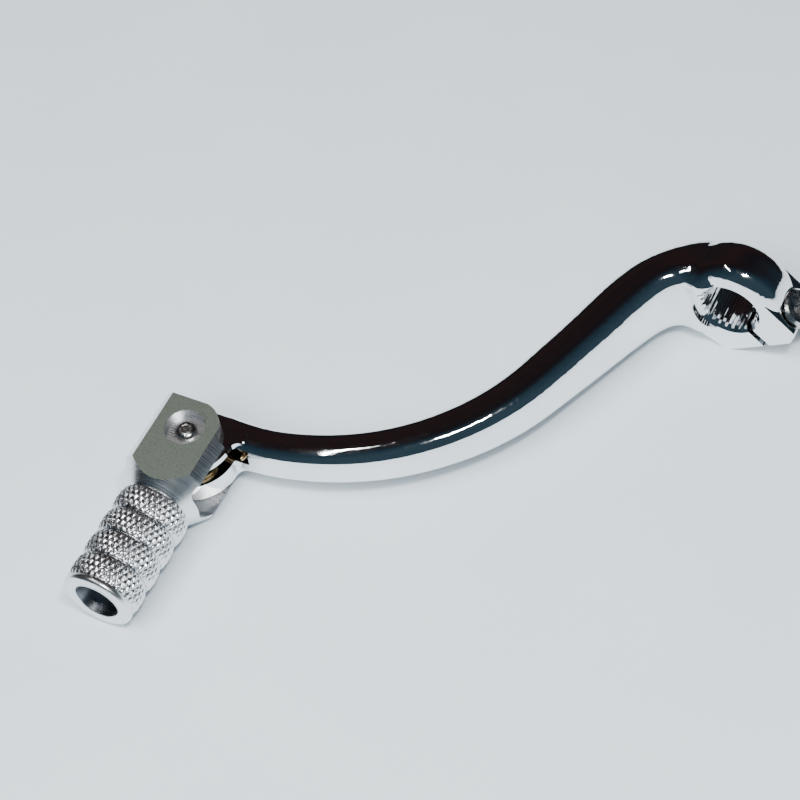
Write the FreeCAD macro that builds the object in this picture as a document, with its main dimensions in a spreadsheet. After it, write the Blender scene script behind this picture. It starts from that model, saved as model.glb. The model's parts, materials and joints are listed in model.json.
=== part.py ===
"""Motorcycle gear shift lever with a folding, spring-returned toe tip.

The origin is the centre of the splined bore.  +X points forward to the toe, +Y points outward
along the shift shaft (the rider's side) and +Z is up.  Sizes are in millimetres.
"""
import FreeCAD, Part
import math
import os

import Sketcher
from FreeCAD import Placement, Rotation, Vector

doc = FreeCAD.newDocument("GearShiftLever")

# ---------------------------------------------------------------- driving dimensions
DIMENSIONS = {
    # splined clamp boss
    "boss_radius": 11.7,
    "boss_depth": 11.5,
    "boss_rounding": 3.6,
    "spline_root_radius": 6.65,
    "spline_tip_radius": 6.05,
    "spline_count": 26,
    "bore_chamfer": 0.6,
    "bore_face_radius": 7.5,
    "slot_width": 1.5,
    "bolt_offset": 9.8,
    "bolt_radius": 2.5,
    "bolt_clearance": 0.2,
    "bolt_seat": 5.6,
    "bolt_bore_radius": 4.7,
    "bolt_head_radius": 4.25,
    "bolt_head_height": 5.0,
    "bolt_length": 12.0,
    "bolt_socket_flats": 4.0,
    "bolt_socket_depth": 2.5,
    # arm
    "toe_width": 8.2,
    "toe_height": 9.8,
    "root_width": 11.3,
    "root_height": 21.2,
    "corner_share": 0.36,
    # toe joint
    "pivot_forward": 94.0,
    "pivot_outward": 78.5,
    "pivot_height": -5.0,
    "tongue_radius": 10.2,
    "tongue_bottom": -4.3,
    "tongue_thickness": 10.1,
    "tongue_gap": 0.2,
    "spring_slot_bottom": 0.4,
    "spring_slot_height": 4.0,
    "spring_slot_radius": 5.6,
    "pin_radius": 2.5,
    "pin_running_gap": 0.05,
    # toe tip
    "head_radius": 11.0,
    "head_top": 8.5,
    "head_back": 7.2,
    "ear_radius": 7.4,
    "slot_end": 13.4,
    "slot_corner": 3.0,
    "cone_start": 10.6,
    "neck_start": 15.8,
    "neck_radius": 7.3,
    "peg_radius": 8.0,
    "band_length": 6.0,
    "band_count": 4,
    "peg_end": 41.4,
    "peg_hole_radius": 5.0,
    "peg_hole_depth": 16.0,
    "counterbore_radius": 4.5,
    "counterbore_depth": 1.8,
    # return spring
    "wire_radius": 0.55,
    "coil_radius": 4.2,
    "coil_turns": 2.28,
    "coil_pitch": 1.2,
}

sheet = doc.addObject("Spreadsheet::Sheet", "Dimensions")
sheet.Label = "Dimensions"
for row, (alias, value) in enumerate(DIMENSIONS.items(), start=1):
    sheet.set(f"A{row}", alias)
    sheet.set(f"B{row}", str(value))
    sheet.setAlias(f"B{row}", alias)
doc.recompute()


def dim(alias):
    """Read one driving dimension as a plain number."""
    return float(sheet.get(alias))


def bind(thing, prop, formula):
    """Bind a property to a formula; a name led by @ in it is a cell of the sheet."""
    thing.setExpression(prop, formula.replace("@", "Dimensions."))


# ---------------------------------------------------------------- sketch helpers
def plane(body, role):
    """Find one of a body's own origin planes."""
    return next(f for f in body.Origin.OriginFeatures if f.Role == role)


def new_sketch(body, role, name, offset=None):
    """Add a sketch on an origin plane, moved by an offset in that plane's frame."""
    sketch = body.newObject("Sketcher::SketchObject", name)
    sketch.AttachmentSupport = (plane(body, role), "")
    sketch.MapMode = "FlatFace"
    if offset is not None:
        sketch.AttachmentOffset = offset
    return sketch


def add_constraint(sketch, constraint, formula=None):
    """Add a constraint and bind its size to a formula."""
    index = sketch.addConstraint(Sketcher.Constraint(*constraint))
    if formula is not None:
        bind(sketch, f"Constraints[{index}]", formula)
    return index


def add_circle(sketch, centre, radius_formula, radius):
    """Draw a circle held at a fixed centre, its radius bound to the sheet."""
    index = sketch.addGeometry(Part.Circle(Vector(*centre, 0), Vector(0, 0, 1), radius), False)
    add_constraint(sketch, ("DistanceX", index, 3, centre[0]))
    add_constraint(sketch, ("DistanceY", index, 3, centre[1]))
    add_constraint(sketch, ("Radius", index, radius), radius_formula)
    return index


def add_outline(sketch, pieces):
    """Draw a closed outline: two points give a line and three points give an arc."""
    for piece in pieces:
        points = [Vector(x, y, 0) for x, y in piece]
        if len(points) == 2:
            sketch.addGeometry(Part.LineSegment(*points), False)
        else:
            sketch.addGeometry(Part.Arc(*points), False)


def polygon(points):
    """Turn corner points into the line pieces of a closed outline."""
    return [(points[i - 1], points[i]) for i in range(len(points))]


def corner_arc(before, corner, after):
    """Start, middle and end of the arc that rounds a corner; each point is (x, y, radius)."""
    here = Vector(*corner[:2], 0)
    radius = corner[2]
    back = (Vector(*before[:2], 0) - here).normalize()
    ahead = (Vector(*after[:2], 0) - here).normalize()
    half_angle = back.getAngle(ahead) / 2
    reach = radius / math.tan(half_angle)
    bisector = (back + ahead).normalize()
    middle = here + bisector * (radius / math.sin(half_angle) - radius)
    return here + back * reach, middle, here + ahead * reach


def rounded(points):
    """Round the corners of a closed outline; each point is (x, y, corner radius)."""
    pieces = []
    ends = []
    for i, point in enumerate(points):
        start, middle, end = corner_arc(points[i - 1], point, points[(i + 1) % len(points)])
        if point[2] > 0:
            pieces.append([(p.x, p.y) for p in (start, middle, end)])
        ends.append((start, end))
    for (_, leave), (arrive, _) in zip(ends, ends[1:] + ends[:1]):
        pieces.append([(leave.x, leave.y), (arrive.x, arrive.y)])
    return pieces


# ---------------------------------------------------------------- feature helpers
def new_body(name):
    """Start a body whose label names the piece."""
    body = doc.addObject("PartDesign::Body", name)
    body.Label = name
    return body


def pad(body, sketch, length, midplane=False, reverse=False):
    """Extrude a sketch into material; length is a formula."""
    feature = body.newObject("PartDesign::Pad", f"{sketch.Name}_pad")
    feature.Profile = sketch
    bind(feature, "Length", length)
    feature.SideType = "Symmetric" if midplane else "One side"
    feature.Reversed = reverse
    doc.recompute()
    return feature


def pocket(body, sketch, length=None, midplane=False, reverse=False):
    """Cut a sketch out; without a length it cuts right through. It must remove something."""
    before = body.Shape.Volume
    feature = body.newObject("PartDesign::Pocket", f"{sketch.Name}_cut")
    feature.Profile = sketch
    if length is None:
        feature.Type = "ThroughAll"
    else:
        bind(feature, "Length", length)
    feature.SideType = "Symmetric" if midplane else "One side"
    feature.Reversed = reverse
    doc.recompute()
    if body.Shape.Volume > before - 1e-3:
        raise RuntimeError(f"{sketch.Name} removes nothing")
    return feature


def edge_names(shape, wanted):
    """Name the edges of a shape that a test picks."""
    return [f"Edge{i}" for i, edge in enumerate(shape.Edges, start=1) if wanted(edge)]


def fillet(body, wanted, radius):
    """Round the picked edges of a body; radius is a formula."""
    base = body.Tip
    names = edge_names(base.Shape, wanted)
    feature = body.newObject("PartDesign::Fillet", f"{body.Name}_round")
    feature.Base = (base, names)
    bind(feature, "Radius", radius)
    doc.recompute()
    return feature


# ---------------------------------------------------------------- places
SLOT_ANGLE = math.radians(223.8)
SLOT_DIRECTION = Vector(math.cos(SLOT_ANGLE), math.sin(SLOT_ANGLE), 0)
BOLT_DIRECTION = Vector(math.sin(SLOT_ANGLE), -math.cos(SLOT_ANGLE), 0)
PIVOT = Vector(dim("pivot_forward"), dim("pivot_outward"), dim("pivot_height"))


def from_pivot(rearward, inboard):
    """Plan place given as distances from the fold axis, rearward and inboard."""
    return PIVOT.x - rearward, PIVOT.y - inboard


def on_boss(along_slot, along_bolt):
    """Side-view place on the boss, given along the slot and along the pinch bolt."""
    place = SLOT_DIRECTION * along_slot + BOLT_DIRECTION * along_bolt
    return place.x, place.y


# ---------------------------------------------------------------- lever arm
ARM_OFFSET = 4.9  # the arm runs this far inboard of the fold axis
ARM_BENDS = ((44.5, 58.0), (15.2, 17.5))  # where its centreline turns, and each turn's radius
ARM_ENDS = (90.5, 2.0)  # forward places of its first and last sections
ARM_STRAIGHT = 10.0  # the section stays the tongue's over this length
ARM_OVERRUN = 10.0  # the centreline is drawn this far past the last section
ARM_ROOT_HEIGHT = -1.1  # the centreline's height at the boss
ARM_ROOT_SIDE = -0.4  # its outward place there, which keeps the arm below the boss's outer face


def arm_path():
    """Centreline of the arm in plan: straight, bend, straight, bend, straight."""
    toe_side = PIVOT.y - ARM_OFFSET
    (first_x, first_radius), (second_x, second_radius) = ARM_BENDS
    corners = [
        (ARM_ENDS[0], toe_side, 0),
        (first_x, toe_side, first_radius),
        (second_x, ARM_ROOT_SIDE, second_radius),
        (ARM_ENDS[1] - ARM_OVERRUN, ARM_ROOT_SIDE, 0),
    ]
    edges = []
    last = Vector(ARM_ENDS[0], toe_side, 0)
    for i in (1, 2):
        start, middle, end = corner_arc(*corners[i - 1 : i + 2])
        edges.append(Part.LineSegment(last, start).toShape())
        edges.append(Part.Arc(start, middle, end).toShape())
        last = end
    edges.append(Part.LineSegment(last, Vector(*corners[3][:2], 0)).toShape())
    return edges


def path_place(edges, distance):
    """Point and direction on the centreline at a distance from its toe end."""
    for edge in edges:
        if distance <= edge.Length or edge is edges[-1]:
            parameter = edge.getParameterByLength(distance)
            return edge.valueAt(parameter), edge.tangentAt(parameter)
        distance -= edge.Length


def add_section(body, number, place, heading, share):
    """Sketch one rounded-rectangle section of the arm, square to its centreline."""
    across = Vector(0, 0, 1).cross(heading)
    frame = Placement(place, Rotation(across, Vector(0, 0, 1), heading, "ZXY"))
    sketch = new_sketch(body, "XY_Plane", f"arm_section_{number}", frame)
    height_share = share**2.2
    width = dim("toe_width") + (dim("root_width") - dim("toe_width")) * share
    height = dim("toe_height") + (dim("root_height") - dim("toe_height")) * height_share
    corner = width * dim("corner_share")
    x, y = width / 2, height / 2
    add_outline(
        sketch,
        rounded([(-x, -y, corner), (x, -y, corner), (x, y, corner), (-x, y, corner)]),
    )
    tie_section(sketch, x, y, corner, share, height_share)
    return sketch


def tie_section(sketch, x, y, corner, width_share, height_share):
    """Constrain the four arcs (0-3) and four lines (4-7) of a section to the sheet."""
    for i in range(4):
        add_constraint(sketch, ("Tangent", i, 2, 4 + i, 1))
        add_constraint(sketch, ("Tangent", 4 + i, 2, (i + 1) % 4, 1))
    add_constraint(sketch, ("Horizontal", 4))
    add_constraint(sketch, ("Vertical", 5))
    add_constraint(sketch, ("Horizontal", 6))
    add_constraint(sketch, ("Vertical", 7))
    for i in (1, 2, 3):
        add_constraint(sketch, ("Equal", 0, i))
    width = f"(@toe_width + (@root_width - @toe_width) * {width_share:.5f})"
    height = f"(@toe_height + (@root_height - @toe_height) * {height_share:.5f})"
    add_constraint(sketch, ("Radius", 0, corner), f"{width} * @corner_share")
    add_constraint(sketch, ("DistanceX", -1, 1, 5, 1, x), f"{width} / 2")
    add_constraint(sketch, ("DistanceX", 7, 1, -1, 1, x), f"{width} / 2")
    add_constraint(sketch, ("DistanceY", -1, 1, 6, 1, y), f"{height} / 2")
    add_constraint(sketch, ("DistanceY", 4, 1, -1, 1, y), f"{height} / 2")


def add_arm(body):
    """Loft the arm through sections set out along its centreline."""
    edges = arm_path()
    start, end = ARM_STRAIGHT, sum(edge.Length for edge in edges) - ARM_OVERRUN
    distances = [0, ARM_STRAIGHT / 2] + [start + (end - start) * i / 10 for i in range(11)]
    sections = []
    for number, distance in enumerate(distances):
        place, heading = path_place(edges, distance)
        share = max(0, distance - start) / (end - start)
        tongue_middle = PIVOT.z + dim("tongue_bottom") + dim("tongue_thickness") / 2
        place.z = tongue_middle + (ARM_ROOT_HEIGHT - tongue_middle) * share**0.75
        sections.append(add_section(body, number, place, heading, share))
    doc.recompute()
    loft = body.newObject("PartDesign::AdditiveLoft", "arm")
    loft.Profile = sections[0]
    loft.Sections = sections[1:]
    doc.recompute()


def add_boss(body):
    """Pad the round clamp boss with its rounded rim, and its pinch lug."""
    half = dim("boss_depth") / 2
    disc = new_sketch(body, "XZ_Plane", "boss_disc")
    add_circle(disc, (0, 0), "@boss_radius", dim("boss_radius"))
    pad(body, disc, "@boss_depth", midplane=True)
    fillet(body, lambda e: all(abs(abs(v.Y) - half) < 1e-3 for v in e.Vertexes), "@boss_rounding")
    lug = new_sketch(body, "XZ_Plane", "pinch_lug")
    outline = [(7, -10.2, 0), (0.2, -13.9, 2.5), (-14.2, -5.1, 1.5), (*on_boss(12.4, 9.2), 1.0)]
    add_outline(lug, rounded([*outline, (*on_boss(3, 9.2), 0), (0, 0, 0)]))
    pad(body, lug, "@boss_depth", midplane=True)


def add_tongue(body):
    """Pad the tongue that enters the toe tip, round outside and flat elsewhere, and its web."""
    radius = dim("tongue_radius")
    base = Placement(Vector(0, 0, PIVOT.z + dim("tongue_bottom")), Rotation())
    disc = new_sketch(body, "XY_Plane", "tongue_disc", base)
    back, front = 7.2, 8.4
    round_side = [
        from_pivot(-front, -math.sqrt(radius**2 - front**2)),
        from_pivot(0, -radius),
        from_pivot(math.sqrt(radius**2 - back**2), back),
    ]
    chain = [round_side[2], from_pivot(-front, back), round_side[0]]
    add_outline(disc, [round_side, *zip(chain, chain[1:])])
    pad(body, disc, "@tongue_thickness")
    web_radius = 2.0
    wall = ARM_OFFSET - dim("toe_width") / 2 + 1.3
    side = wall - web_radius
    centre = math.sqrt((radius + web_radius) ** 2 - side**2)
    turn = radius / (radius + web_radius)
    middle = math.radians(130)
    arc = [
        from_pivot(centre * turn, side * turn),
        from_pivot(
            centre + web_radius * math.cos(middle), side + web_radius * math.sin(middle)
        ),
        from_pivot(centre, wall),
    ]
    inner = [from_pivot(centre, ARM_OFFSET), from_pivot(6, ARM_OFFSET)]
    chain = [arc[2], *inner, arc[0]]
    web = new_sketch(body, "XY_Plane", "tongue_web", base)
    add_outline(web, [arc, *zip(chain, chain[1:])])
    pad(body, web, "@tongue_thickness")


def cut_spline(body):
    """Cut the bore at the spline's tips, its chamfers, and one groove repeated round it."""
    bore = new_sketch(body, "XZ_Plane", "spline_bore")
    add_circle(bore, (0, 0), "@spline_tip_radius", dim("spline_tip_radius"))
    pocket(body, bore, midplane=True)
    half = dim("boss_depth") / 2
    for name, side in (("outer_face", -1), ("inner_face", 1)):
        place = Placement(Vector(0, 0, side * half), Rotation())
        face = new_sketch(body, "XZ_Plane", name, place)
        add_circle(face, (0, 0), "@bore_face_radius", dim("bore_face_radius"))
        pocket(body, face, "5", reverse=side > 0)

    def at_mouth(edge):
        return all(
            abs(math.hypot(v.X, v.Z) - dim("spline_tip_radius")) < 1e-3
            and abs(abs(v.Y) - half) < 1e-3
            for v in edge.Vertexes
        )

    base = body.Tip
    mouth = body.newObject("PartDesign::Chamfer", "bore_mouth")
    mouth.Base = (base, edge_names(base.Shape, at_mouth))
    bind(mouth, "Size", "@bore_chamfer + @spline_root_radius - @spline_tip_radius")
    doc.recompute()
    pitch = 2 * math.pi / dim("spline_count")
    root = dim("spline_root_radius")
    tip = dim("spline_tip_radius") - 0.05
    wide, narrow = pitch * 0.31, pitch * 0.15
    corners = [(tip, -wide), (root, -narrow), (root, narrow), (tip, wide)]
    groove = new_sketch(body, "XZ_Plane", "spline_groove")
    add_outline(groove, polygon([(r * math.cos(a), r * math.sin(a)) for r, a in corners]))
    cut = pocket(body, groove, midplane=True)
    ring = body.newObject("PartDesign::PolarPattern", "spline_grooves")
    ring.Originals = [cut]
    ring.Axis = (plane(body, "Y_Axis"), [""])
    ring.Angle = 360
    bind(ring, "Occurrences", "@spline_count")
    body.Tip = ring
    doc.recompute()


def cut_clamp(body):
    """Cut the pinch slot, the pinch bolt's hole and the bore round its head."""
    half = dim("slot_width") / 2
    slot = new_sketch(body, "XZ_Plane", "pinch_slot")
    corners = [(4, -half), (20, -half), (20, half), (4, half)]
    add_outline(slot, polygon([on_boss(*c) for c in corners]))
    pocket(body, slot, midplane=True)
    bolt_axis = Vector(BOLT_DIRECTION.x, 0, BOLT_DIRECTION.y)
    x, z = on_boss(dim("bolt_offset"), 0)
    frame = Placement(Vector(x, 0, z), Rotation(Vector(0, 0, 1), bolt_axis))
    for name, size, start, end in (
        ("bolt_thread", "@bolt_radius", -20, 0),
        ("bolt_passage", "@bolt_radius + @bolt_clearance", 0, dim("bolt_seat") + 1),
        ("bolt_seat", "@bolt_bore_radius", dim("bolt_seat"), 25),
    ):
        place = frame.multiply(Placement(Vector(0, 0, end), Rotation()))
        hole = new_sketch(body, "XY_Plane", name, place)
        add_circle(hole, (0, 0), size, 3)
        pocket(body, hole, f"{end - start}")


def cut_spring_slot(body):
    """Cut the slot for the return spring's coil and leg, open at the tongue's front."""
    radius = dim("spring_slot_radius")
    top = dim("spring_slot_bottom") + dim("spring_slot_height")
    place = Placement(Vector(0, 0, PIVOT.z + top), Rotation())
    slot = new_sketch(body, "XY_Plane", "spring_slot", place)
    turn = math.radians(60)
    arc = [
        from_pivot(radius * math.cos(turn), radius * math.sin(turn)),
        from_pivot(0, radius),
        from_pivot(-radius, 0),
    ]
    chain = [
        arc[2],
        from_pivot(-11, -1),
        from_pivot(-11, -12),
        from_pivot(13.8, -12),
        from_pivot(13.8, 2.2),
        from_pivot(12.6, 3.4),
        arc[0],
    ]
    add_outline(slot, [arc, *zip(chain, chain[1:])])
    pocket(body, slot, "@spring_slot_height")


def cut_pin_hole(body):
    """Bore the tongue for the pivot pin to run in."""
    hole = new_sketch(body, "XY_Plane", "pin_hole")
    size = "@pin_radius + @pin_running_gap"
    add_circle(hole, (PIVOT.x, PIVOT.y), size, dim("pin_radius"))
    pocket(body, hole, midplane=True)


def make_lever_arm():
    """Forged lever: clamp boss, arm and tongue in one piece."""
    body = new_body("lever_arm")
    add_boss(body)
    add_arm(body)
    add_tongue(body)
    cut_spline(body)
    cut_clamp(body)
    cut_spring_slot(body)
    cut_pin_hole(body)
    return body


# ---------------------------------------------------------------- toe tip
def tip_profile():
    """Half outline of the turned tip: distance from its axis, place along it."""
    radius, neck, peg = dim("head_radius"), dim("neck_radius"), dim("peg_radius")
    back, end = -dim("head_back"), dim("peg_end")
    cone, start, band = dim("cone_start"), dim("neck_start"), dim("band_length")
    pieces = [
        ((0, back), (radius, back)),
        ((radius, back), (radius, cone)),
        ((radius, cone), (neck, start)),
    ]
    valley = 0.25
    for i in range(int(dim("band_count"))):
        low = start + i * band
        high = low + band - valley
        pieces.append(((neck, low), (peg, (low + high) / 2), (neck, high)))
        pieces.append(((neck, high), (neck, high + valley)))
    low = start + dim("band_count") * band
    bevel = 0.6
    pieces += [
        ((neck, low), (peg, low + bevel)),
        ((peg, low + bevel), (peg, end - bevel)),
        ((peg, end - bevel), (peg - bevel, end)),
        ((peg - bevel, end), (0, end)),
        ((0, end), (0, back)),
    ]
    return pieces


def cut_head_flats(body):
    """Mill the head flat above and below."""
    flat = new_sketch(body, "XZ_Plane", "head_flats")
    top, wide = dim("head_top"), 14
    for side in (1, -1):
        corners = [(-wide, side * top), (wide, side * top), (wide, side * 14), (-wide, side * 14)]
        add_outline(flat, polygon(corners))
    pocket(body, flat, midplane=True)


def cut_tongue_slot(body):
    """Mill the round-ended slot that takes the tongue, open behind and at both sides."""
    gap = dim("tongue_gap")
    low = dim("tongue_bottom") - gap
    high = low + dim("tongue_thickness") + 2 * gap
    end, corner = dim("slot_end"), dim("slot_corner")
    slot = new_sketch(body, "YZ_Plane", "tongue_slot")
    outline = [(-12, low, 0), (end, low, corner), (end, high, corner), (-12, high, 0)]
    add_outline(slot, rounded(outline))
    pocket(body, slot, midplane=True)


def cut_ear_corner(body):
    """Round the ears about the fold axis on the side that folds onto the arm."""
    radius = dim("ear_radius")
    middle = math.radians(225)
    arc = [
        (0, -radius),
        (radius * math.cos(middle), radius * math.sin(middle)),
        (-radius, 0),
    ]
    corner = new_sketch(body, "XY_Plane", "ear_corner")
    chain = [arc[2], (-13, 0), (-13, -9), (0, -9), arc[0]]
    add_outline(corner, [arc, *zip(chain, chain[1:])])
    pocket(body, corner, midplane=True)


def cut_tip_holes(body):
    """Drill the peg's end, the pin's hole and the counterbore round each pin head."""
    end_place = Placement(Vector(0, 0, -dim("peg_end")), Rotation())
    end_hole = new_sketch(body, "XZ_Plane", "peg_hole", end_place)
    add_circle(end_hole, (0, 0), "@peg_hole_radius", dim("peg_hole_radius"))
    pocket(body, end_hole, "@peg_hole_depth", reverse=True)
    pin = new_sketch(body, "XY_Plane", "ear_holes")
    add_circle(pin, (0, 0), "@pin_radius", dim("pin_radius"))
    pocket(body, pin, midplane=True)
    for name, side in (("upper_counterbore", 1), ("lower_counterbore", -1)):
        floor = side * (dim("head_top") - dim("counterbore_depth"))
        place = Placement(Vector(0, 0, floor), Rotation())
        seat = new_sketch(body, "XY_Plane", name, place)
        add_circle(seat, (0, 0), "@counterbore_radius", dim("counterbore_radius"))
        pocket(body, seat, reverse=side > 0, length="@counterbore_depth + 5")


def make_toe_tip():
    """Turned and milled tip: slotted head, cone and banded peg in one piece."""
    body = new_body("toe_tip")
    profile = new_sketch(body, "XY_Plane", "tip_profile")
    add_outline(profile, tip_profile())
    turned = body.newObject("PartDesign::Revolution", "turned_tip")
    turned.Profile = profile
    turned.ReferenceAxis = (plane(body, "Y_Axis"), [""])
    turned.Angle = 360
    doc.recompute()
    cut_head_flats(body)
    cut_tongue_slot(body)
    cut_ear_corner(body)
    cut_tip_holes(body)
    body.Placement = Placement(PIVOT, Rotation())
    return body


# ---------------------------------------------------------------- hardware
def turned_body(name, pieces):
    """Turn a half outline about Z."""
    body = new_body(name)
    profile = new_sketch(body, "XZ_Plane", f"{name}_profile")
    add_outline(profile, pieces)
    turned = body.newObject("PartDesign::Revolution", f"{name}_turned")
    turned.Profile = profile
    turned.ReferenceAxis = (plane(body, "Z_Axis"), [""])
    turned.Angle = 360
    doc.recompute()
    return body


def make_pivot_pin():
    """Rivet through both ears: a plain shank with a low dome at each end."""
    radius = dim("pin_radius")
    end = dim("head_top") - 0.5
    shoulder = end - 0.9
    flat = radius * 0.35
    bulge = (radius * 0.83, shoulder + 0.6)
    body = turned_body(
        "pivot_pin",
        [
            ((0, -end), (flat, -end)),
            ((flat, -end), (bulge[0], -bulge[1]), (radius, -shoulder)),
            ((radius, -shoulder), (radius, shoulder)),
            ((radius, shoulder), bulge, (flat, end)),
            ((flat, end), (0, end)),
            ((0, end), (0, -end)),
        ],
    )
    body.Placement = Placement(PIVOT, Rotation())
    return body


def make_pinch_bolt():
    """Socket head screw across the clamp's slot."""
    shank, head = dim("bolt_radius") - 0.05, dim("bolt_head_radius")
    length, height = dim("bolt_length"), dim("bolt_head_height")
    bevel = 0.5
    body = turned_body(
        "pinch_bolt",
        polygon(
            [
                (0, -length),
                (shank - bevel, -length),
                (shank, bevel - length),
                (shank, 0),
                (head, 0),
                (head, height - bevel),
                (head - bevel, height),
                (0, height),
            ]
        ),
    )
    place = Placement(Vector(0, 0, height), Rotation())
    socket = new_sketch(body, "XY_Plane", "bolt_socket", place)
    reach = dim("bolt_socket_flats") / math.sqrt(3)
    turns = [math.radians(60 * i) for i in range(6)]
    add_outline(socket, polygon([(reach * math.cos(a), reach * math.sin(a)) for a in turns]))
    pocket(body, socket, "@bolt_socket_depth")
    bolt_axis = Vector(BOLT_DIRECTION.x, 0, BOLT_DIRECTION.y)
    x, z = on_boss(dim("bolt_offset"), dim("bolt_seat"))
    body.Placement = Placement(Vector(x, 0, z), Rotation(Vector(0, 0, 1), bolt_axis))
    return body


def spring_path():
    """Centreline of the return spring: tip leg, coil, arm leg and the hook that ends it."""
    coil, turns = dim("coil_radius"), dim("coil_turns")
    low = dim("spring_slot_bottom") + dim("wire_radius") + 0.08
    step = 2 * math.pi * coil / 16
    points = [Vector(coil, step * i, low) for i in (4, 3, 2, 1)]
    steps = round(16 * turns)
    for i in range(steps + 1):
        angle = -2 * math.pi * turns * i / steps
        rise = dim("coil_pitch") * turns * i / steps
        points.append(Vector(coil * math.cos(angle), coil * math.sin(angle), low + rise))
    heading = Vector(math.sin(angle), -math.cos(angle), 0)
    aside = Vector(heading.y, -heading.x, 0)
    points += [points[-1] + heading * step * i for i in range(1, 8)]
    hook = 1.3
    centre = points[-1] + aside * hook
    for degrees in (60, 120):
        turned = math.radians(degrees)
        points.append(centre + (heading * math.sin(turned) - aside * math.cos(turned)) * hook)
    return points


def make_return_spring():
    """Torsion spring round the pin, swept along its centreline."""
    points = spring_path()
    curve = Part.BSplineCurve()
    curve.interpolate(points)
    wire = Part.Wire(curve.toShape())
    start = (points[1] - points[0]).normalize()
    profile = Part.Wire(Part.makeCircle(dim("wire_radius"), points[0], start))
    spring = doc.addObject("Part::Feature", "return_spring")
    spring.Label = "return_spring"
    spring.Shape = wire.makePipeShell([profile], True, False)
    spring.Placement = Placement(PIVOT, Rotation())
    return spring


# ---------------------------------------------------------------- write the pieces
SUBPARTS = [
    make_lever_arm(),
    make_toe_tip(),
    make_pivot_pin(),
    make_return_spring(),
    make_pinch_bolt(),
]
doc.recompute()
for thing in doc.Objects:
    if "Invalid" in thing.State or "Error" in thing.State:
        raise RuntimeError(f"{thing.Name}: {thing.State}")
os.makedirs("parts", exist_ok=True)
for body in SUBPARTS:
    shape = body.Shape
    if shape.isNull() or not shape.isValid() or len(shape.Solids) != 1:
        raise RuntimeError(f"{body.Label} is not one good solid")
    shape.exportStep(f"parts/{body.Label}.step")
    box = shape.BoundBox
    print(f"{body.Label}: {shape.Volume:.0f} mm3, Z {box.ZMin:.2f} to {box.ZMax:.2f}")
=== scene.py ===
"""Looks of the folding gear shift lever: polished arm, machined and knurled tip, floor and light."""

import json
import math

import bmesh
import bpy
import numpy as np
from mathutils import Matrix, Vector


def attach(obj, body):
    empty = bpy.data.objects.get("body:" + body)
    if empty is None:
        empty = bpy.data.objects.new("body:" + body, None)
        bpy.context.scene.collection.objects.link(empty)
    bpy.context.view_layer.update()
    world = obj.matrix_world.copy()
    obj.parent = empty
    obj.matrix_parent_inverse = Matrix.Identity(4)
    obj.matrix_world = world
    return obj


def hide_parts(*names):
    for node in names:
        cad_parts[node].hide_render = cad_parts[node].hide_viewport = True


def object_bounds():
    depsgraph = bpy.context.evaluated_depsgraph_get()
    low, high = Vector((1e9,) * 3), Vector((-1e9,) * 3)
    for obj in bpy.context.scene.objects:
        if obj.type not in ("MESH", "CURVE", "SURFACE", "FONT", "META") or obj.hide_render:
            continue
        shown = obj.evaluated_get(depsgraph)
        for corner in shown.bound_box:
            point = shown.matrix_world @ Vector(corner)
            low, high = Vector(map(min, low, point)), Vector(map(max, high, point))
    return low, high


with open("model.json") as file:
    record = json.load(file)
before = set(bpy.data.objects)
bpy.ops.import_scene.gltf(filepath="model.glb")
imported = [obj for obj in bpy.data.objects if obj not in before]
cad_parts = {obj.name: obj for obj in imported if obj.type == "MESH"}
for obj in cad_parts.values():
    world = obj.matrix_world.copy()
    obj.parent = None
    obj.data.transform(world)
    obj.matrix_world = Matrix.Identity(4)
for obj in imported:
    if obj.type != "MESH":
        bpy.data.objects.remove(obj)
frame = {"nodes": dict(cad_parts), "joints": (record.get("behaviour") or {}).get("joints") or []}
cad_box = [list(corner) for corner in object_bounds()]

MM = 0.001
PIVOT = Vector(frame["joints"][0]["pos_m"])

# Toe peg, in millimetres from the fold axis along the peg, and from the peg's own axis.
HEAD_FLAT = 8.5
NECK_START = 15.8
NECK_RADIUS = 7.3
PEG_RADIUS = 8.0
BAND_LENGTH = 6.0
BAND_COUNT = 4
PEG_END = 41.4
HOLE_RADIUS = 5.0
HOLE_DEPTH = 16.0
KNURL_STARTS = 36  # ridges round the peg in each direction
KNURL_PITCH = 1.35  # their spacing along the peg
KNURL_DEPTH = 0.38
KNURL_STEPS = 9  # mesh steps for each ridge


def add_object(name, data):
    """Put a new object in the scene."""
    thing = bpy.data.objects.new(name, data)
    bpy.context.scene.collection.objects.link(thing)
    return thing


# ---------------------------------------------------------------- materials
def new_material(name, color, metallic, roughness):
    """Start a Principled material and return its tree and shader."""
    material = bpy.data.materials.new(name)
    material.use_nodes = True
    shader = material.node_tree.nodes["Principled BSDF"]
    shader.inputs["Base Color"].default_value = (*color, 1)
    shader.inputs["Metallic"].default_value = metallic
    shader.inputs["Roughness"].default_value = roughness
    return material, material.node_tree, shader


def add_noise(tree, scale, detail=4.0, stretch=(1, 1, 1)):
    """Noise in object space, optionally stretched into brush marks."""
    place = tree.nodes.new("ShaderNodeTexCoord")
    mapping = tree.nodes.new("ShaderNodeMapping")
    mapping.inputs["Scale"].default_value = stretch
    noise = tree.nodes.new("ShaderNodeTexNoise")
    noise.inputs["Scale"].default_value = scale
    noise.inputs["Detail"].default_value = detail
    tree.links.new(place.outputs["Object"], mapping.inputs["Vector"])
    tree.links.new(mapping.outputs["Vector"], noise.inputs["Vector"])
    return noise.outputs["Fac"]


def spread(tree, value, low, high, start=0.3, end=0.7):
    """Map a noise value to a range."""
    ramp = tree.nodes.new("ShaderNodeMapRange")
    ramp.inputs["From Min"].default_value = start
    ramp.inputs["From Max"].default_value = end
    ramp.inputs["To Min"].default_value = low
    ramp.inputs["To Max"].default_value = high
    tree.links.new(value, ramp.inputs["Value"])
    return ramp.outputs["Result"]


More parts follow.
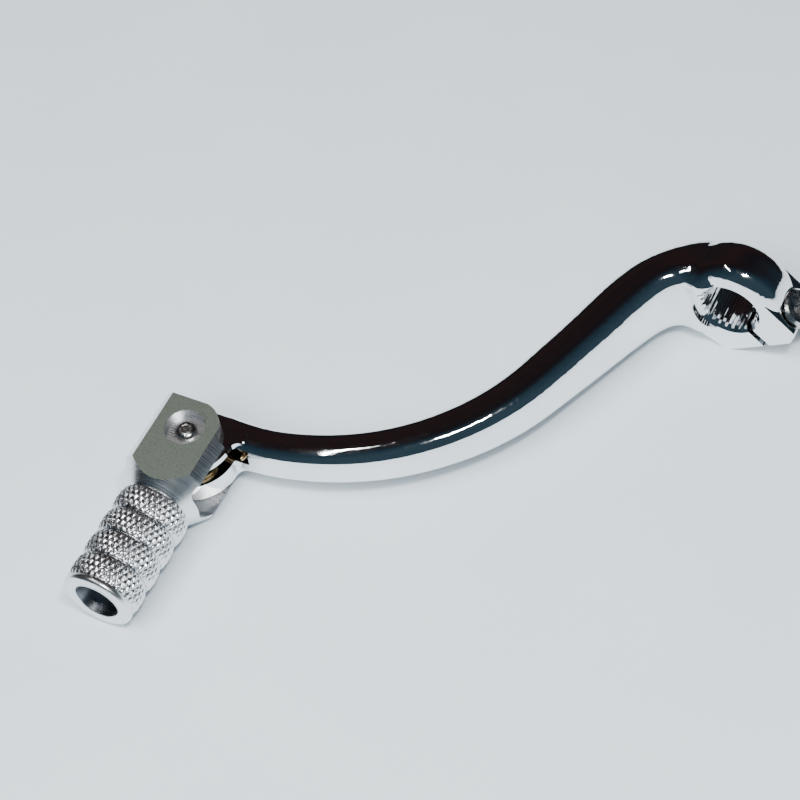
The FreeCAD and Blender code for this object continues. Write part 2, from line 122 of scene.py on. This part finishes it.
def tint(tree, value, dark, light):
    """Blend between two colours by a noise value."""
    ramp = tree.nodes.new("ShaderNodeValToRGB")
    ramp.color_ramp.elements[0].position = 0.3
    ramp.color_ramp.elements[0].color = (*dark, 1)
    ramp.color_ramp.elements[1].position = 0.7
    ramp.color_ramp.elements[1].color = (*light, 1)
    tree.links.new(value, ramp.inputs["Fac"])
    return ramp.outputs["Color"]


def add_bump(tree, shader, value, distance, strength=1.0):
    """Raise the surface by a noise value; distance is in metres."""
    bump = tree.nodes.new("ShaderNodeBump")
    bump.inputs["Distance"].default_value = distance
    bump.inputs["Strength"].default_value = strength
    tree.links.new(value, bump.inputs["Height"])
    tree.links.new(bump.outputs["Normal"], shader.inputs["Normal"])


def polished_aluminium():
    """Mirror-polished aluminium with the faint waves and specks of hand buffing."""
    material, tree, shader = new_material("polished_aluminium", (0.93, 0.94, 0.95), 1.0, 0.06)
    specks = add_noise(tree, 900, 6)
    tree.links.new(spread(tree, specks, 0.045, 0.1, 0.45, 0.8), shader.inputs["Roughness"])
    waves = add_noise(tree, 60, 2)
    tree.links.new(
        tint(tree, waves, (0.9, 0.91, 0.93), (0.96, 0.965, 0.97)), shader.inputs["Base Color"]
    )
    add_bump(tree, shader, waves, 0.00004)
    return material


def machined_aluminium():
    """Satin machined aluminium with a fine grain; its dark grey-green colour is a painted reflection
    of the dark room.
    """
    # painted reflection: the dark grey-green colours here and in the grain tint stand for the dark
    # room the flats reflect
    material, tree, shader = new_material("machined_aluminium", (0.18, 0.2, 0.17), 0.5, 0.34)
    grain = add_noise(tree, 4200, 5)
    tree.links.new(
        tint(tree, grain, (0.1, 0.115, 0.095), (0.155, 0.175, 0.15)), shader.inputs["Base Color"]
    )
    tree.links.new(spread(tree, grain, 0.26, 0.44), shader.inputs["Roughness"])
    add_bump(tree, shader, grain, 0.000015)
    return material


def turned_aluminium():
    """Bright turned aluminium with fine rings round the peg's axis."""
    material, tree, shader = new_material("turned_aluminium", (0.86, 0.87, 0.88), 1.0, 0.2)
    rings = add_noise(tree, 700, 3, (0.05, 6, 0.05))
    tree.links.new(spread(tree, rings, 0.24, 0.36), shader.inputs["Roughness"])
    add_bump(tree, shader, rings, 0.00001)
    return material


def knurled_aluminium():
    """Bright aluminium, with painted shade darkening the knurl valleys and the grooves between the
    bands.
    """
    material, tree, shader = new_material("knurled_aluminium", (0.9, 0.9, 0.91), 1.0, 0.22)
    grain = add_noise(tree, 1500, 4)
    # painted shade: the colour darkens towards the peg's axis, from 7.75 mm in to 7.2 mm, in the
    # grooves and knurl valleys
    place = tree.nodes.new("ShaderNodeTexCoord")
    mapping = tree.nodes.new("ShaderNodeMapping")
    mapping.inputs["Location"].default_value = (-PIVOT.x, 0, -PIVOT.z)
    mapping.inputs["Scale"].default_value = (1, 0, 1)
    length = tree.nodes.new("ShaderNodeVectorMath")
    length.operation = "LENGTH"
    tree.links.new(place.outputs["Object"], mapping.inputs["Vector"])
    tree.links.new(mapping.outputs["Vector"], length.inputs[0])
    height = spread(tree, length.outputs["Value"], 0, 1, 7.2 * MM, 7.75 * MM)
    mix = tree.nodes.new("ShaderNodeMix")
    mix.data_type = "RGBA"
    # dark colour of the painted shade in the valleys and grooves
    mix.inputs["A"].default_value = (0.22, 0.22, 0.235, 1)
    tree.links.new(height, mix.inputs["Factor"])
    tree.links.new(tint(tree, grain, (0.84, 0.84, 0.86), (0.97, 0.97, 0.98)), mix.inputs["B"])
    tree.links.new(mix.outputs["Result"], shader.inputs["Base Color"])
    tree.links.new(spread(tree, grain, 0.22, 0.36), shader.inputs["Roughness"])
    return material


def drilled_hole_painted_shade():
    """Dull wall of the peg's drilled end hole, darkened with painted shade."""
    # dark base colour: painted shade inside the hole
    material, tree, shader = new_material("drilled_hole_painted_shade", (0.2, 0.21, 0.23), 1.0, 0.35)
    rings = add_noise(tree, 500, 3, (0.2, 5, 0.2))
    tree.links.new(spread(tree, rings, 0.25, 0.45), shader.inputs["Roughness"])
    return material


def steel():
    """Bright zinc-plated steel of the rivet and the screw."""
    material, tree, shader = new_material("bright_steel", (0.72, 0.71, 0.7), 1.0, 0.2)
    grain = add_noise(tree, 1200, 4)
    tree.links.new(
        tint(tree, grain, (0.6, 0.59, 0.58), (0.78, 0.77, 0.76)), shader.inputs["Base Color"]
    )
    tree.links.new(spread(tree, grain, 0.14, 0.3), shader.inputs["Roughness"])
    return material


def bronze_spring():
    """Oil-browned spring wire."""
    material, tree, shader = new_material("bronze_spring", (0.5, 0.34, 0.16), 1.0, 0.25)
    grain = add_noise(tree, 900, 4)
    tree.links.new(
        tint(tree, grain, (0.36, 0.22, 0.09), (0.66, 0.48, 0.27)), shader.inputs["Base Color"]
    )
    return material


def floor_paper():
    """Slightly mottled pale paper."""
    material, tree, shader = new_material("floor_paper", (0.75, 0.78, 0.8), 0.0, 0.6)
    mottle = add_noise(tree, 25, 3)
    tree.links.new(
        tint(tree, mottle, (0.665, 0.735, 0.785), (0.695, 0.765, 0.81)), shader.inputs["Base Color"]
    )
    shader.inputs["Specular IOR Level"].default_value = 0.2
    return material


# ---------------------------------------------------------------- the lever
SLOT_ANGLE = math.radians(223.8)  # direction of the clamp's slot, from +X towards +Z
BLEND_INSIDE = (8.2, 9.4)  # mm from the bore's axis: the bore and its face stay as machined
BLEND_OUTSIDE = (19.0, 27.0)  # the forged blend fades out along the arm
BLEND_LUG = (0.5, 3.5)  # mm along the slot: the pinch lug stays as machined
FILL_ROUNDS = 200  # of filling creases outward
NORMAL_ROUNDS = 10  # the normals are worked out again after this many
BLEND_ROUNDS = 40  # of smoothing afterwards
BLEND_STEPS = (0.5, -0.515)  # inward, then outward, so that the blend keeps its size
BLEND_EDGE = 0.8  # longest mesh edge in the blend, mm
REFINE_PASSES = 7
BLEND_CREASE = 75  # degrees: edges sharper than this stay hard in the blend
PLAIN_CREASE = 30  # and elsewhere on the lever


def fade(value, low, high):
    """Smooth step from 0 at low to 1 at high."""
    share = np.clip((value - low) / (high - low), 0, 1)
    return share * share * (3 - 2 * share)


def blend_weight(points):
    """How far each point, in mm, belongs to the forged blend of boss and arm."""
    distance = np.hypot(points[:, 0], points[:, 2])
    along_slot = points[:, 0] * math.cos(SLOT_ANGLE) + points[:, 2] * math.sin(SLOT_ANGLE)
    weight = fade(distance, *BLEND_INSIDE) * (1 - fade(distance, *BLEND_OUTSIDE))
    return weight * (1 - fade(along_slot, *BLEND_LUG))


def middle_weight(edge):
    """Blend weight at the middle of an edge."""
    middle = np.array([(edge.verts[0].co + edge.verts[1].co)[:]]) / 2 / MM
    return blend_weight(middle)[0]


def refine(shape):
    """Split the long edges of the blend until they are short enough to smooth."""
    for _ in range(REFINE_PASSES):
        points = np.array([v.co[:] for v in shape.verts]) / MM
        weight = blend_weight(points)
        shape.verts.index_update()
        long_edges = []
        for edge in shape.edges:
            near = weight[edge.verts[0].index] + weight[edge.verts[1].index] > 0
            if edge.calc_length() > BLEND_EDGE * MM and (near or middle_weight(edge) > 0):
                long_edges.append(edge)
        if not long_edges:
            return
        bmesh.ops.subdivide_edges(shape, edges=long_edges, cuts=1)
        bmesh.ops.triangulate(shape, faces=shape.faces)


def outward_normals(points, corners):
    """Normal of each point of a triangle mesh, averaged over its triangles by their area."""
    first, second, third = (points[corners[:, i]] for i in range(3))
    faces = np.cross(second - first, third - first)
    total = np.stack(
        [
            sum(np.bincount(corners[:, i], faces[:, axis], len(points)) for i in range(3))
            for axis in range(3)
        ],
        axis=1,
    )
    return total / np.maximum(np.linalg.norm(total, axis=1, keepdims=True), 1e-12)


def relax(mesh):
    """Fill the creases of the blend outward, then smooth it at its own size."""
    count = len(mesh.vertices)
    points = np.zeros(count * 3)
    mesh.vertices.foreach_get("co", points)
    points = points.reshape(-1, 3)
    edges = np.zeros(len(mesh.edges) * 2, int)
    mesh.edges.foreach_get("vertices", edges)
    first, second = edges.reshape(-1, 2).T
    corners = np.zeros(len(mesh.polygons) * 3, int)
    mesh.polygons.foreach_get("vertices", corners)
    corners = corners.reshape(-1, 3)
    degree = np.bincount(edges, minlength=count)[:, None]
    weight = blend_weight(points / MM)[:, None]

    def pull():
        """Way from each point to the middle of its neighbours."""
        total = np.stack(
            [
                np.bincount(first, points[second, axis], count)
                + np.bincount(second, points[first, axis], count)
                for axis in range(3)
            ],
            axis=1,
        )
        return total / degree - points

    for turn in range(FILL_ROUNDS):
        if turn % NORMAL_ROUNDS == 0:
            normals = outward_normals(points, corners)
        rise = np.maximum((pull() * normals).sum(axis=1, keepdims=True), 0)
        points += 0.5 * weight * rise * normals
    for step in BLEND_STEPS * BLEND_ROUNDS:
        points += step * weight * pull()
    mesh.vertices.foreach_set("co", points.ravel())


def make_lever(polished):
    """Copy the lever's solid and let the boss flow into the arm as a forging does."""
    mesh = frame["nodes"]["lever_arm"].data.copy()
    mesh.name = "forged_lever"
    mesh.materials.clear()
    mesh.materials.append(polished)
    shape = bmesh.new()
    shape.from_mesh(mesh)
    bmesh.ops.remove_doubles(shape, verts=shape.verts, dist=2e-6)
    bmesh.ops.triangulate(shape, faces=shape.faces)
    refine(shape)
    shape.to_mesh(mesh)
    shape.free()
    relax(mesh)
    shape = bmesh.new()
    shape.from_mesh(mesh)
    for edge in shape.edges:
        limit = BLEND_CREASE if middle_weight(edge) > 0.2 else PLAIN_CREASE
        edge.smooth = edge.is_manifold and edge.calc_face_angle(0) < math.radians(limit)
    for face in shape.faces:
        face.smooth = True
    shape.to_mesh(mesh)
    shape.free()
    return add_object("forged_lever", mesh)


# ---------------------------------------------------------------- the tip
def knurl_height(around, along):
    """Height of the diamond knurl at an angle and a place along the peg, 0 to 1."""
    turns = around / (2 * math.pi) * KNURL_STARTS
    rows = along / KNURL_PITCH / 2
    ridges = 1.0
    for phase in (turns + rows, turns - rows):
        ridges = min(ridges, 1.7 * abs(2 * (phase % 1) - 1))
    return ridges


def band_radius(place):
    """Radius of the crowned bands at a place along the peg, and how far it is up its crown."""
    into_band = (place - NECK_START) % BAND_LENGTH
    share = into_band / BAND_LENGTH
    crown = math.sqrt(max(0.0, 1 - (2 * share - 1) ** 2 * 0.96))
    return NECK_RADIUS + (PEG_RADIUS + 0.15 - NECK_RADIUS) * crown, crown


def peg_rows():
    """Rings of the peg: (distance along it, plain radius, knurl depth)."""
    rows = [(NECK_START - 0.6, NECK_RADIUS - 0.4, 0.0), (NECK_START, NECK_RADIUS, 0.0)]
    steps = int(BAND_LENGTH / KNURL_PITCH * KNURL_STEPS)
    for band in range(BAND_COUNT):
        for step in range(1, steps):
            place = NECK_START + (band + step / steps) * BAND_LENGTH
            radius, crown = band_radius(place)
            rows.append((place, radius, KNURL_DEPTH * min(1.0, crown * 1.4 - 0.3)))
        rows.append((NECK_START + (band + 1) * BAND_LENGTH, NECK_RADIUS - 0.1, 0.0))
    rows[-1] = (NECK_START + BAND_COUNT * BAND_LENGTH, PEG_RADIUS - 0.25, 0.0)
    for place, radius in (
        (PEG_END - 1.3, PEG_RADIUS - 0.02),
        (PEG_END - 0.7, PEG_RADIUS),
        (PEG_END - 0.25, PEG_RADIUS - 0.15),
        (PEG_END, PEG_RADIUS - 0.55),
        (PEG_END, HOLE_RADIUS + 0.25),
        (PEG_END - 0.25, HOLE_RADIUS),
        (PEG_END - HOLE_DEPTH + 3, HOLE_RADIUS),
        (PEG_END - HOLE_DEPTH, 0.02),
    ):
        rows.append((place, radius, 0.0))
    return rows


def make_peg(*materials):
    """Build the crowned, diamond-knurled peg with its end hole as one mesh."""
    columns = KNURL_STARTS * KNURL_STEPS
    mesh = bpy.data.meshes.new("knurled_peg")
    points = []
    faces = []
    rows = peg_rows()
    for place, plain, depth in rows:
        for column in range(columns):
            around = 2 * math.pi * column / columns
            radius = plain
            if depth > 0:
                radius += depth * (knurl_height(around, place) - 0.8)
            points.append(
                (
                    PIVOT.x + radius * math.cos(around) * MM,
                    PIVOT.y + place * MM,
                    PIVOT.z + radius * math.sin(around) * MM,
                )
            )
    for row in range(len(rows) - 1):
        for column in range(columns):
            here = row * columns + column
            beside = row * columns + (column + 1) % columns
            faces.append((here, here + columns, beside + columns, beside))
    mesh.from_pydata(points, [], faces)
    mesh.validate()
    for material in materials:
        mesh.materials.append(material)
    mesh.shade_smooth()
    inside = HOLE_RADIUS + 0.1
    for face in mesh.polygons:
        reach = (face.center - PIVOT) / MM
        # the hole's wall and bottom take the material with the painted shade
        if math.hypot(reach.x, reach.z) < inside:
            face.material_index = 2
        elif reach.y > NECK_START + BAND_COUNT * BAND_LENGTH:
            face.material_index = 1
    return add_object("knurled_peg", mesh)


def make_head(top, sides):
    """Keep the slotted head and cone from the tip's solid; the flats get the dark machined material,
    whose colour is a painted reflection of the dark room.
    """
    source = frame["nodes"]["toe_tip"]
    mesh = source.data.copy()
    mesh.name = "slotted_head"
    mesh.materials.clear()
    mesh.materials.append(top)
    mesh.materials.append(sides)
    cut = PIVOT.y + NECK_START * MM
    shape = bmesh.new()
    shape.from_mesh(mesh)
    bmesh.ops.remove_doubles(shape, verts=shape.verts, dist=1e-6)
    geometry = [*shape.verts, *shape.edges, *shape.faces]
    bmesh.ops.bisect_plane(
        shape, geom=geometry, plane_co=(0, cut, 0), plane_no=(0, 1, 0), clear_outer=True
    )
    for edge in shape.edges:
        edge.smooth = edge.is_manifold and edge.calc_face_angle(0) < math.radians(28)
    for face in shape.faces:
        face.smooth = True
        height = abs(face.calc_center_median().z - PIVOT.z)
        # the flats take the material with the painted reflection, the rest the turned one
        face.material_index = 0 if height > HEAD_FLAT * MM - 1e-5 else 1
    shape.to_mesh(mesh)
    shape.free()
    return add_object("slotted_head", mesh)


# ---------------------------------------------------------------- stage
def make_floor():
    """Pale paper that the lever lies on."""
    mesh = bpy.data.meshes.new("floor")
    size = 1.2
    low = cad_box[0][2]
    corners = [(-size, -size, low), (size, -size, low), (size, size, low), (-size, size, low)]
    mesh.from_pydata(corners, [], [(0, 1, 2, 3)])
    mesh.materials.append(floor_paper())
    add_object("floor", mesh)


def add_light(name, place, target, size, power, color=(1, 1, 1), glossy=True):
    """Area light aimed at a target."""
    light = bpy.data.lights.new(name, "AREA")
    light.shape = "RECTANGLE"
    light.size, light.size_y = size
    light.energy = power
    light.color = color
    lamp = add_object(name, light)
    lamp.location = place
    aim = Vector(target) - Vector(place)
    lamp.rotation_euler = aim.to_track_quat("-Z", "Y").to_euler()
    lamp.visible_glossy = glossy


def make_world():
    """Dark room: brownish black behind and overhead, dim blue on the viewer's side."""
    world = bpy.data.worlds.new("dark_room")
    world.use_nodes = True
    tree = world.node_tree
    background = tree.nodes["Background"]
    place = tree.nodes.new("ShaderNodeTexCoord")
    toward = tree.nodes.new("ShaderNodeVectorMath")
    toward.operation = "DOT_PRODUCT"
    toward.inputs[1].default_value = (-0.575, 0.818, 0)
    share = tree.nodes.new("ShaderNodeMapRange")
    share.inputs["From Min"].default_value = -1
    ramp = tree.nodes.new("ShaderNodeValToRGB")
    stops = (
        (0.0, (0.012, 0.01, 0.012)),
        (0.15, (0.02, 0.011, 0.011)),
        (0.3, (0.01, 0.008, 0.01)),
        (0.44, (0.012, 0.014, 0.018)),
        (0.56, (0.014, 0.03, 0.044)),
        (0.7, (0.02, 0.042, 0.06)),
        (0.82, (0.03, 0.056, 0.076)),
    )
    elements = ramp.color_ramp.elements
    elements.remove(elements[1])
    for index, (position, color) in enumerate(stops):
        element = elements[0] if index == 0 else elements.new(position)
        element.position = position
        element.color = (*color, 1)
    tree.links.new(place.outputs["Generated"], toward.inputs[0])
    tree.links.new(toward.outputs["Value"], share.inputs["Value"])
    tree.links.new(share.outputs["Result"], ramp.inputs["Fac"])
    tree.links.new(ramp.outputs["Color"], background.inputs["Color"])
    bpy.context.scene.world = world


def make_lights():
    """Soft light on the paper, a long lamp overhead and a bright small one by the viewer."""
    middle = (0.045, 0.045, 0)
    add_light("soft_overhead", (0.1, 0.5, 0.75), middle, (0.7, 0.7), 15.5, (0.96, 0.99, 1), False)
    add_light("long_lamp", (0.2, 0.09, 0.5), middle, (0.4, 0.008), 0.5)
    add_light("viewer_lamp", (-0.16, 0.2, 0.56), middle, (0.12, 0.05), 3.0)


def make_camera():
    """Camera above the rider's side, looking down at the lever."""
    data = bpy.data.cameras.new("camera")
    data.lens = 112.5
    data.sensor_width = 36
    camera = add_object("camera", data)
    right = Vector((-0.8908, -0.4391, -0.1166)).normalized()
    up = Vector((0.2911, -0.7486, 0.5957)).normalized()
    back = right.cross(up)
    turn = Matrix((right, up, back)).transposed()
    camera.matrix_world = Matrix.Translation((-0.1302, 0.3178, 0.4234)) @ turn.to_4x4()
    bpy.context.scene.camera = camera


# ---------------------------------------------------------------- assemble
def set_material(node, material):
    """Give a carried-over CAD node its finish."""
    mesh = frame["nodes"][node].data
    mesh.materials.clear()
    mesh.materials.append(material)


def dress():
    """Finish every piece."""
    lever = make_lever(polished_aluminium())
    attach(lever, "lever")
    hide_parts("lever_arm")
    set_material("pivot_pin", steel())
    set_material("pinch_bolt", steel())
    set_material("return_spring", bronze_spring())
    turned = turned_aluminium()
    head = make_head(machined_aluminium(), turned)
    peg = make_peg(knurled_aluminium(), turned, drilled_hole_painted_shade())
    for piece in (head, peg):
        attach(piece, "toe")
        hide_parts("toe_tip")


make_camera()
make_world()
make_lights()
make_floor()
dress()
